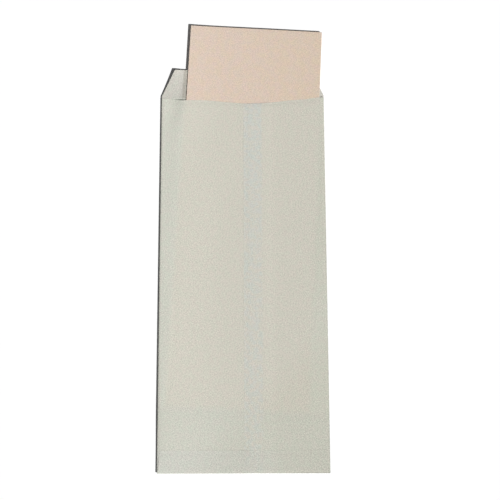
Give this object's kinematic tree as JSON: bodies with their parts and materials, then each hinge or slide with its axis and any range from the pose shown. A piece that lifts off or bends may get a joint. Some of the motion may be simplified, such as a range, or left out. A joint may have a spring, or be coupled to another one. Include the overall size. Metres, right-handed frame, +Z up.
{
  "type": "paper envelope with a card in it",
  "caption": "Tall open-end paper envelope with a lapped back seam, glued bottom flap and open seal flap, holding a loose stiff card.",
  "frame": {"origin": "middle of the plain front panel's underside, which lies on the surface", "axes": "+X across the envelope to the right seen from the seam side, +Y along it towards the mouth and the open seal flap, +Z up out of the seam side"},
  "size_m": [0.105, 0.2895, 0.0022],
  "materials": {
    "envelope_paper": "matte",
    "card_stock": "matte"
  },
  "bodies": {
    "root": {"envelope": "envelope_paper", "insert_card": "card_stock"}
  },
  "joints": []
}
